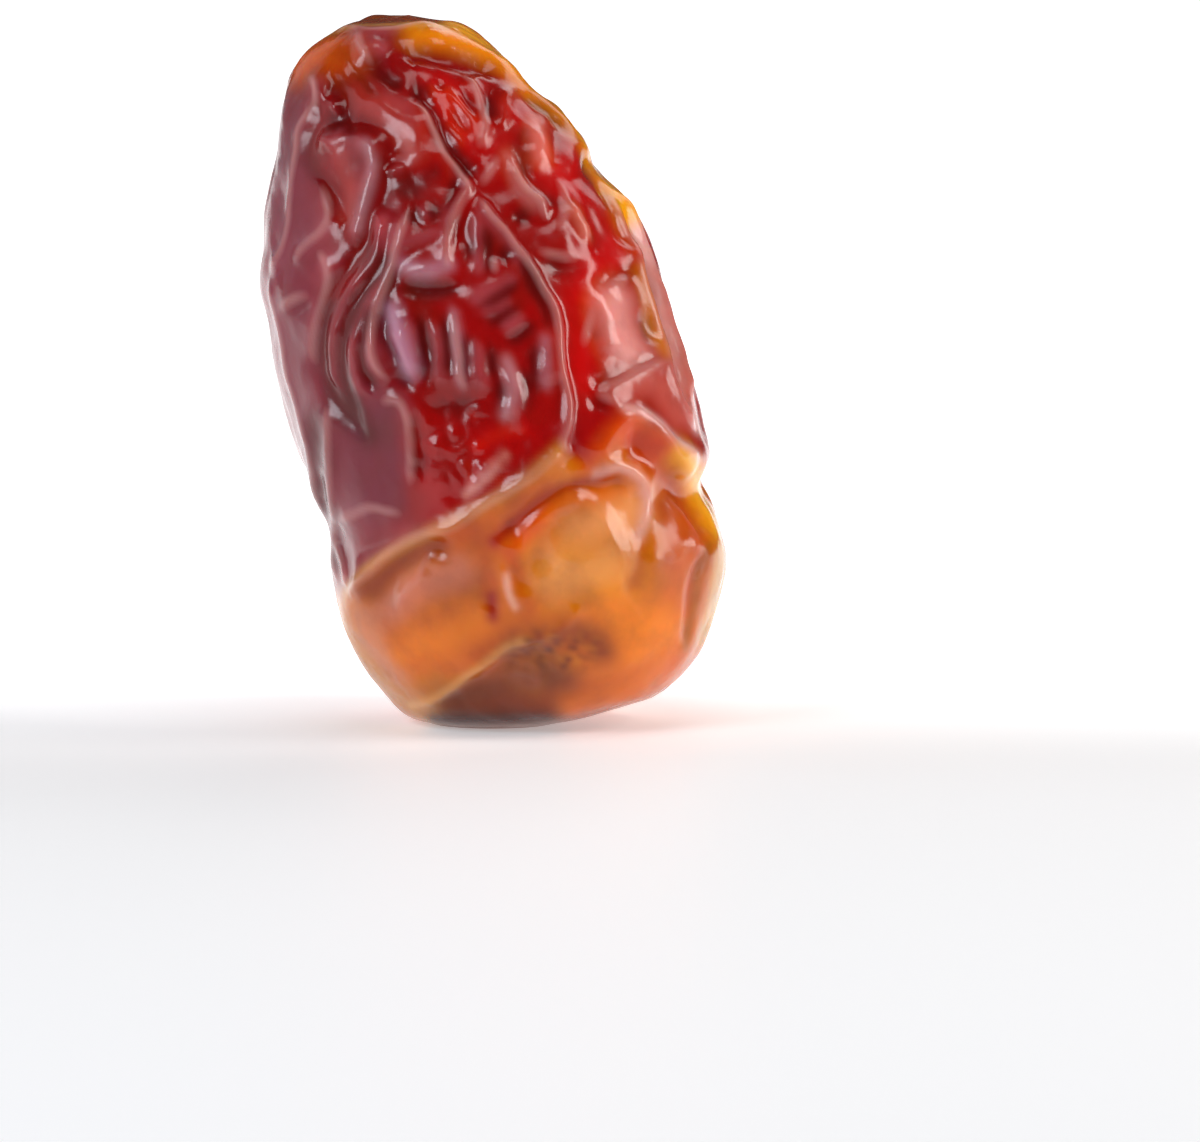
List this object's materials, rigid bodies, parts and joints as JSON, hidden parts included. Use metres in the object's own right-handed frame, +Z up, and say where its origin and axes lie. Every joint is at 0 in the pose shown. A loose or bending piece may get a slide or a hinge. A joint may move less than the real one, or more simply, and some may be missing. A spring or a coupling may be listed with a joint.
{
  "type": "sagai date",
  "caption": "Dried date fruit with glossy folded skin, standing on its blunt stem end and leaning a little to one side.",
  "frame": {"origin": "bottom centre of the fruit's bounding box, on the surface it stands on", "axes": "+Z up, along the fruit from its stem end to its tip; the pictured side faces -Y; the tip leans towards -X"},
  "size_m": [0.0266, 0.0232, 0.0402],
  "materials": {
    "date_skin": "glossy wrinkled fruit skin"
  },
  "bodies": {
    "root": {"date_fruit": "date_skin"}
  },
  "joints": []
}
